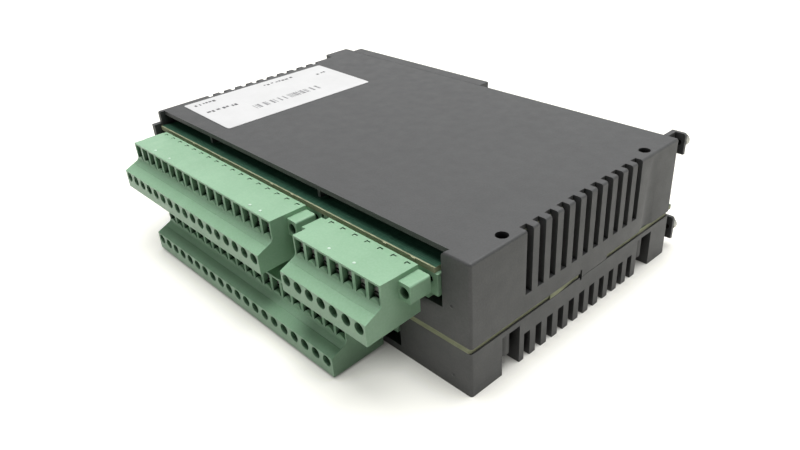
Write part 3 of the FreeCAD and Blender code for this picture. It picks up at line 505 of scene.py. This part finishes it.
def component_legs():
    """Gull-wing legs: out of the body's side, down, and flat on the board."""
    for node, (pitch, width, reach) in LEGS.items():
        mesh = bmesh.new()
        for low, high in solid_boxes(node):
            sides = [(0, 1), (1, 0)] if node == "processor_chip" else [(0, 1)]
            for across, along in sides:
                count = int((high[along] - low[along] - LEG_FREE) / (pitch * MM)) + 1
                middle = (high[along] + low[along]) / 2
                for i in range(count):
                    at = middle + (i - (count - 1) / 2) * pitch * MM
                    for face, way in ((low[across], -1), (high[across], 1)):
                        leg(mesh, across, along, face, way, at,
                            width * MM, reach * MM, low.z, high.z)
        add_piece(node + "_legs", mesh, FINISHES["tinned_pins"])


def leg(mesh, across, along, face, way, at, width, reach, foot, top):
    """One leg, on the side at face, sticking out along axis across in the direction way."""
    shoulder = foot + (top - foot) * LEG_SHOULDER
    knee = reach * LEG_KNEE

    def part(near, far, low, high):
        a, b = [0.0, 0.0, low], [0.0, 0.0, high]
        a[along], b[along] = at - width / 2, at + width / 2
        a[across], b[across] = sorted((face + way * near, face + way * far))
        box_solid(mesh, a, b)

    part(0.0, knee, shoulder, shoulder + LEG_THICK)
    part(knee - LEG_THICK, knee, foot, shoulder)
    part(knee - LEG_THICK, reach, foot, foot + LEG_THICK)


# Choke winding: turns, points in each turn, share of the ring that is wound, and the wire's radius
CHOKE_TURNS = 34
CHOKE_STEPS = 14
CHOKE_WOUND = 0.94
CHOKE_WIRE = 0.3 * MM


def choke_winding():
    """Turns of wire round the ring core."""
    low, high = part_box("storage_choke")
    centre = (low + high) / 2
    minor = (high.z - low.z) / 2
    major = (high.x - low.x) / 2 - minor
    curve = bpy.data.curves.new("choke_winding", "CURVE")
    curve.dimensions = "3D"
    curve.bevel_depth = CHOKE_WIRE
    curve.bevel_resolution = 2
    line = curve.splines.new("POLY")
    line.points.add(CHOKE_TURNS * CHOKE_STEPS - 1)
    for i, point in enumerate(line.points):
        round_ring = 2 * math.pi * CHOKE_WOUND * i / (CHOKE_TURNS * CHOKE_STEPS)
        round_core = 2 * math.pi * i / CHOKE_STEPS
        out = major + minor * math.cos(round_core)
        up = minor * math.sin(round_core)
        place = centre + Vector((out * math.cos(round_ring), out * math.sin(round_ring), up))
        point.co = (*place, 1.0)
    curve.materials.append(copper_wire())
    piece = bpy.data.objects.new("choke_winding", curve)
    bpy.context.scene.collection.objects.link(piece)
    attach(piece, "root")


# Moulding marks: where they are on top of each plug, as (x, y), the outline of one, as (radius,
# height), all in millimetres, and the sides of its circle
GATE_MARKS = {
    "plug_upper_right": ((41.6, -60.4), (51.8, -60.4)),
    "plug_upper_left": ((4.8, -61.0), (10.2, -61.0), (-45.6, -61.0), (-55.8, -61.0)),
    "plug_lower": ((-42.2, -60.6), (-12.0, -60.6), (18.4, -60.6), (38.8, -60.6)),
}
MARK_OUTLINE = ((0.50, 0.0), (0.46, 0.08), (0.30, 0.16), (0.12, 0.20))
MARK_SIDES = 16


def gate_marks():
    """Low round vestiges on top of each plug where the plastic came into the mould; their pale colour
    is a painted glint.
    """
    # The pale green stands in for the glint on the vestiges: a painted highlight.
    finish = plug_plastic("gate_plastic_painted_glint", (0.66, 0.80, 0.70), (0.58, 0.74, 0.62))
    outline = [(r * MM, h * MM) for r, h in MARK_OUTLINE]
    for plug, places in GATE_MARKS.items():
        mesh = bmesh.new()
        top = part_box(plug)[1].z
        for x, y in places:
            lathe(mesh, Vector((x * MM, y * MM, top)), outline, MARK_SIDES)
        add_piece("gate_marks_" + plug, mesh, finish, plug)


# Ejector pips: how far to the right and how high they are, in millimetres
PIP_X = 72.7
PIP_HEIGHTS = (26.1, 3.9)


def ejector_pips():
    """Two small round marks on the front of the right-hand pillar."""
    mesh = bmesh.new()
    outline = [(r * MM, h * MM) for r, h in MARK_OUTLINE]
    forward = Matrix.Rotation(math.radians(90), 4, "X")
    for height in PIP_HEIGHTS:
        lathe(mesh, Vector(), outline, MARK_SIDES)
        new = mesh.verts[-len(MARK_OUTLINE) * MARK_SIDES:]
        place = Matrix.Translation((PIP_X * MM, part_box("lower_shell")[0].y, height * MM))
        bmesh.ops.transform(mesh, matrix=place @ forward, verts=new)
    add_piece("ejector_pips", mesh, FINISHES["housing"])


# ---- label print ---------------------------------------------------------------------------------
# How far the label is stuck on askew, in degrees, and how thick its ink is, in millimetres
LABEL_TURN = -1.7
INK_THICK = 0.02
# Lines of plain dashes: how far across and along the label from its centre they start, how far
# they run, and how tall they are, in millimetres
DASH_LINES = (
    (-14.0, -29.0, 9.0, 1.7),
    (-4.0, -29.0, 12.0, 1.9),
    (-13.6, 1.5, 13.5, 1.3),
    (-8.5, 23.5, 4.0, 1.3),
)
# Shortest and longest dash, gaps between dashes, how far one may sit out of line, and the shares
# of the line's height that one may have
DASH_RUN = (0.5, 1.5)
DASH_GAPS = (0.45, 0.45, 1.1)
DASH_STEPS = (0.0, 0.35)
DASH_SHARES = (0.7, 1.0)
# The strip of bars, in the same order as a line of dashes, and the widths and gaps of its bars
BARS = (3.6, -14.0, 28.0, 4.2)
BAR_WIDTHS = (0.3, 0.3, 0.6, 0.9)
BAR_GAPS = (0.35, 0.35, 0.7, 1.6)
# Seed of the print's random draws
PRINT_SEED = 7


def label_print():
    """Generic print: rows of dashes and a strip of bars, with no letters or figures."""
    random.seed(PRINT_SEED)
    low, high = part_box("rating_label")
    centre = (low + high) / 2
    turn = Matrix.Translation(centre) @ Matrix.Rotation(math.radians(LABEL_TURN), 4, "Z")
    base = (high.z - low.z) / 2
    dashes, bars = bmesh.new(), bmesh.new()

    def mark(mesh, across, along, tall, wide):
        low_corner = (across * MM, along * MM, base)
        high_corner = ((across + tall) * MM, (along + wide) * MM, base + INK_THICK * MM)
        box_solid(mesh, low_corner, high_corner, turn)

    for across, along, run, tall in DASH_LINES:
        at = along
        while at < along + run:
            wide = random.uniform(*DASH_RUN)
            start = across + random.choice(DASH_STEPS)
            mark(dashes, start, at, tall * random.choice(DASH_SHARES), wide)
            at += wide + random.choice(DASH_GAPS)
    across, along, run, tall = BARS
    at = along
    while at < along + run:
        wide = random.choice(BAR_WIDTHS)
        mark(bars, across, at, tall, wide)
        at += wide + random.choice(BAR_GAPS)
    dark = label_ink("label_ink_dark", (0.10, 0.10, 0.105), (0.025, 0.025, 0.028))
    pale = label_ink("label_ink_pale", (0.34, 0.34, 0.34), (0.13, 0.13, 0.14))
    add_piece("label_dashes", dashes, dark)
    add_piece("label_bars", bars, pale)


# ---- studio --------------------------------------------------------------------------------------
def studio_floor():
    """Pale floor that glows a little to the camera; the glow drops close under the module as a
    painted contact shadow.
    """
    mesh = bmesh.new()
    bmesh.ops.create_grid(mesh, x_segments=1, y_segments=1, size=FLOOR_HALF_WIDTH)
    data = bpy.data.meshes.new("studio_floor")
    mesh.to_mesh(data)
    mesh.free()
    f = Finish("floor_white", Roughness=0.9, Emission_Color=(1.0, 0.99, 0.93))
    # Painted contact shadow: the glow fades where the module closes in the floor.
    open_to_sky = f.node("ShaderNodeAmbientOcclusion", {"Distance": FLOOR_PAINTED_SHADOW_REACH}, samples=8)
    glow = f.span(open_to_sky.outputs["AO"], 0.1, 0.9, FLOOR_GLOW_IN_PAINTED_SHADOW, FLOOR_GLOW_OPEN)
    path = f.node("ShaderNodeLightPath").outputs
    mirrored = f.maths("MULTIPLY", path["Is Glossy Ray"], FLOOR_IN_REFLECTIONS)
    seen = f.maths("ADD", path["Is Camera Ray"], mirrored)
    clouds = f.span(f.noise(60.0, 3.0), 0.3, 0.7)
    f.set(Emission_Strength=f.maths("MULTIPLY", seen, glow),
          Base_Color=f.mix(clouds, (0.55, 0.545, 0.51), (0.57, 0.565, 0.53)))
    data.materials.append(f.material)
    floor = bpy.data.objects.new("studio_floor", data)
    bpy.context.scene.collection.objects.link(floor)


def area_light(name, place, aim, width, height, power):
    """Soft light: a strip of this height, or a disk where it has none."""
    data = bpy.data.lights.new(name, "AREA")
    data.shape = "RECTANGLE" if height else "DISK"
    data.size = width
    if height:
        data.size_y = height
    data.energy = power
    light = bpy.data.objects.new(name, data)
    light.location = place
    light.rotation_euler = (aim - Vector(place)).to_track_quat("-Z", "Y").to_euler()
    bpy.context.scene.collection.objects.link(light)


def white_room():
    """World that gives a little soft light and that the camera sees as plain white."""
    world = bpy.data.worlds.new("white_room")
    world.use_nodes = True
    nodes, links = world.node_tree.nodes, world.node_tree.links
    nodes["Background"].inputs["Color"].default_value = (1.0, 1.0, 1.0, 1.0)
    strength = nodes.new("ShaderNodeMapRange")
    strength.inputs["To Min"].default_value = ROOM_LIGHT
    strength.inputs["To Max"].default_value = ROOM_SEEN
    seen = nodes.new("ShaderNodeLightPath").outputs["Is Camera Ray"]
    links.new(seen, strength.inputs["Value"])
    links.new(strength.outputs["Result"], nodes["Background"].inputs["Strength"])
    return world


def studio():
    studio_floor()
    middle = (cad_box[0] + cad_box[1]) / 2
    for name, place, width, height, power in LIGHTS:
        area_light(name, place, middle, width, height, power)
    bpy.context.scene.world = white_room()
    bpy.context.scene.view_settings.view_transform = "Standard"


def camera():
    data = bpy.data.cameras.new("camera")
    data.lens = LENS
    data.sensor_width = SENSOR_WIDTH
    data.clip_start = CLIP_START
    made = bpy.data.objects.new("camera", data)
    made.location = CAMERA_PLACE
    made.rotation_euler = Euler([math.radians(a) for a in CAMERA_TURN])
    bpy.context.scene.collection.objects.link(made)
    bpy.context.scene.camera = made


camera()
studio()
finish_packed_parts()
solder_joints()
component_legs()
choke_winding()
gate_marks()
ejector_pips()
label_print()
